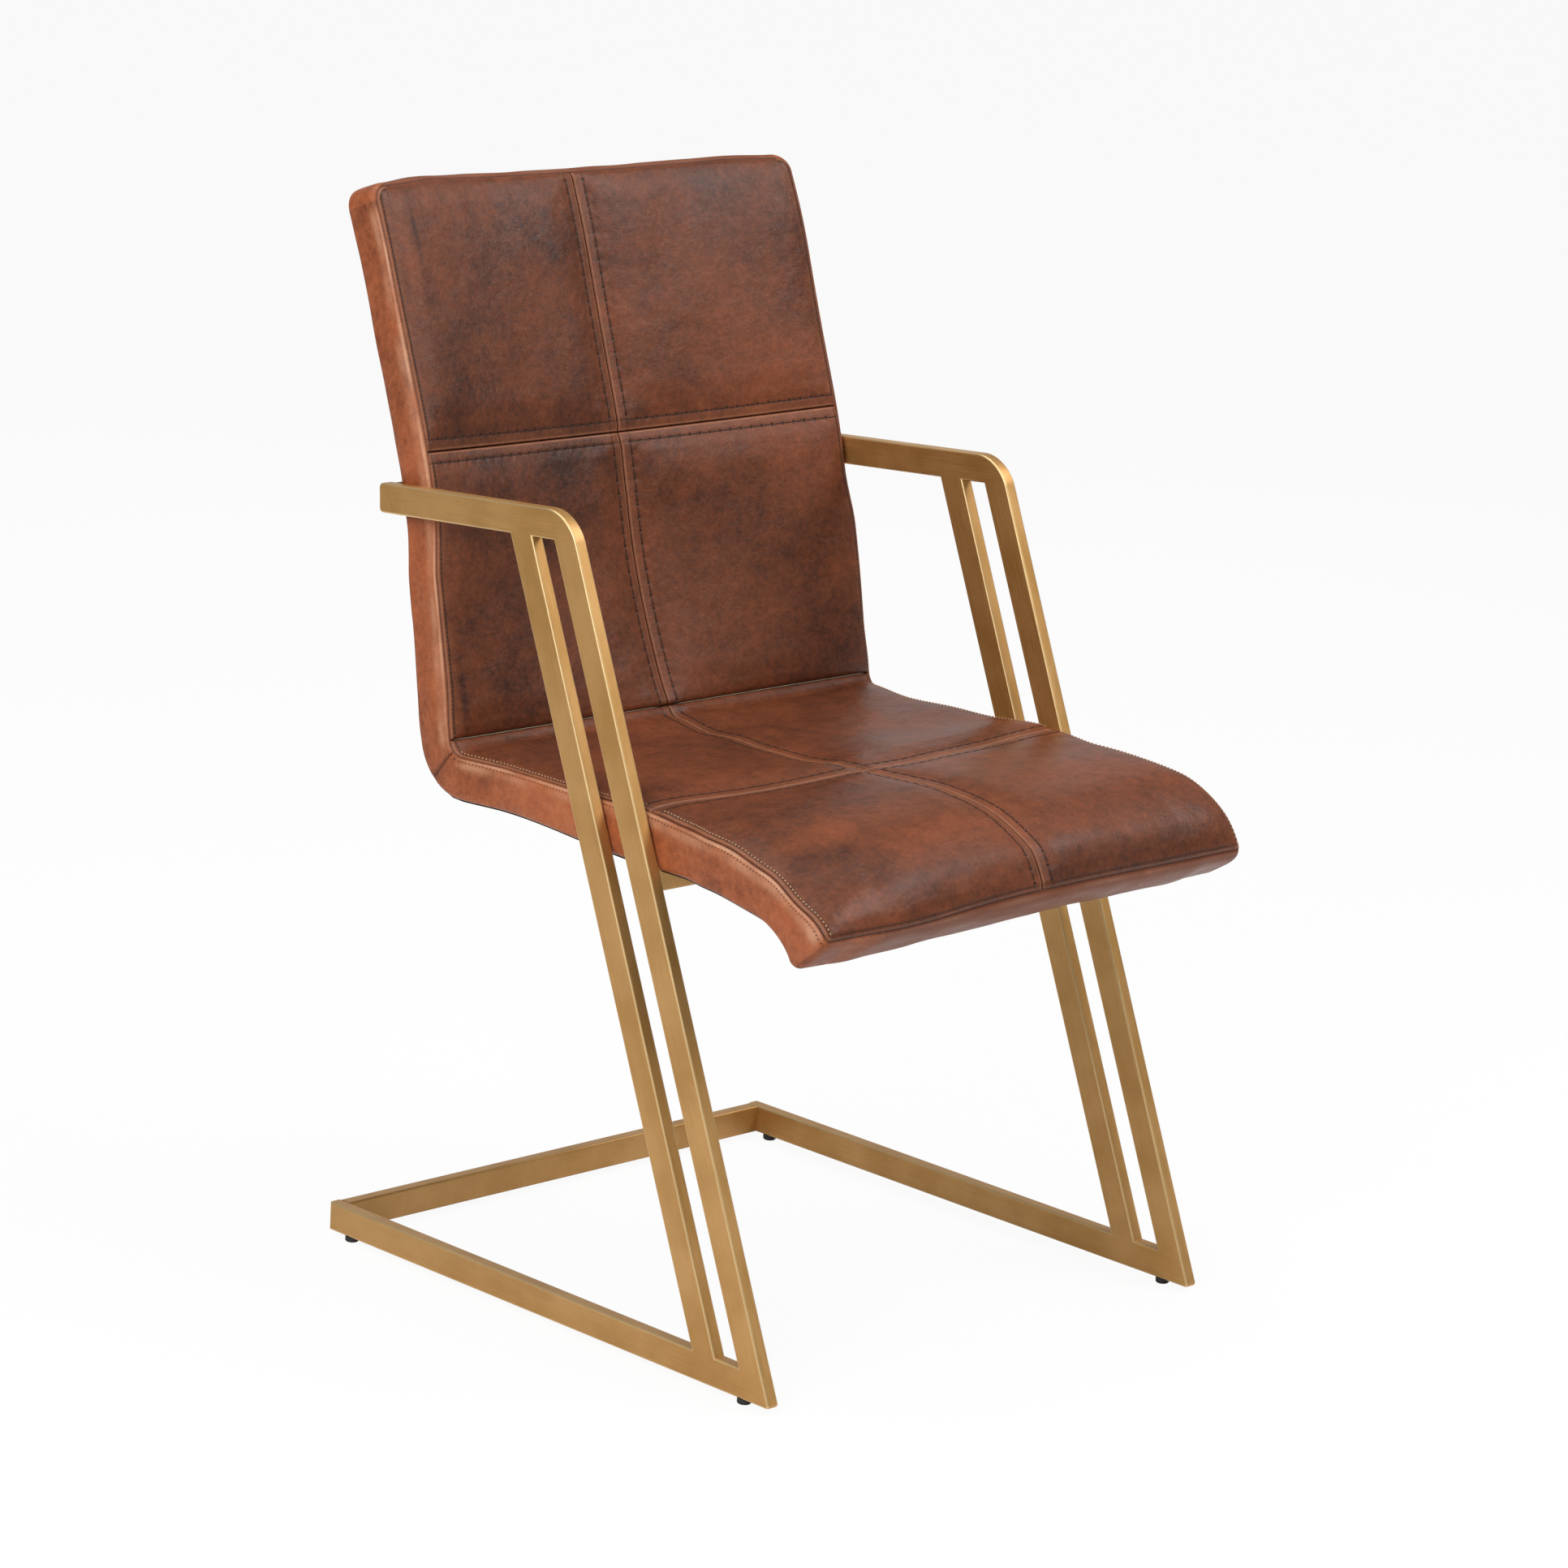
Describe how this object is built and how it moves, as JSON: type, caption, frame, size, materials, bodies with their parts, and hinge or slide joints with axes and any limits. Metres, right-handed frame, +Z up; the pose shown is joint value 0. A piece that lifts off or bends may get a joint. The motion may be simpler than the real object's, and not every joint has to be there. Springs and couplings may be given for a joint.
{
  "type": "accent chair",
  "caption": "Slim leather-covered chair whose bent, hollowed shell hangs in a sled frame of brass flat bar with slotted, leaning double uprights and open arms.",
  "frame": {"origin": "on the floor, under the middle of the chair's outline", "axes": "+Z up, the chair faces -Y, +X is on the sitter's left"},
  "size_m": [0.515, 0.6402, 0.9089],
  "materials": {
    "brass_bar": "brushed satin",
    "panel_leather": "waxed, mottled",
    "boxing_leather": "waxed, rubbed lighter",
    "back_leather": "waxed, mottled",
    "black_fabric": "plain woven",
    "foam": "open-cell foam",
    "plywood": "bare moulded ply",
    "black_steel": "blackened",
    "zinc_steel": "zinc plated",
    "glide_plastic": "matt"
  },
  "bodies": {
    "root": {"right_floor_runner": "brass_bar", "left_floor_runner": "brass_bar", "right_front_upright": "brass_bar", "left_front_upright": "brass_bar", "right_rear_upright": "brass_bar", "left_rear_upright": "brass_bar", "right_arm": "brass_bar", "left_arm": "brass_bar", "rear_floor_bar": "brass_bar", "under_seat_bar": "brass_bar", "back_support_bar": "brass_bar", "floor_glides": "glide_plastic", "plywood_shell": "plywood", "back_foam": "foam", "seat_foam": "foam", "back_upper_right_panel": "panel_leather", "back_upper_left_panel": "panel_leather", "back_lower_right_panel": "panel_leather", "back_lower_left_panel": "panel_leather", "seat_rear_right_panel": "panel_leather", "seat_rear_left_panel": "panel_leather", "seat_front_right_panel": "panel_leather", "seat_front_left_panel": "panel_leather", "right_back_boxing": "boxing_leather", "left_back_boxing": "boxing_leather", "right_seat_boxing": "boxing_leather", "left_seat_boxing": "boxing_leather", "back_top_band": "boxing_leather", "seat_front_band": "boxing_leather", "outside_back_cover": "back_leather", "underside_cover": "black_fabric", "back_bolts": "black_steel", "seat_bolts": "black_steel", "back_tee_nuts": "zinc_steel", "seat_tee_nuts": "zinc_steel"}
  },
  "joints": []
}
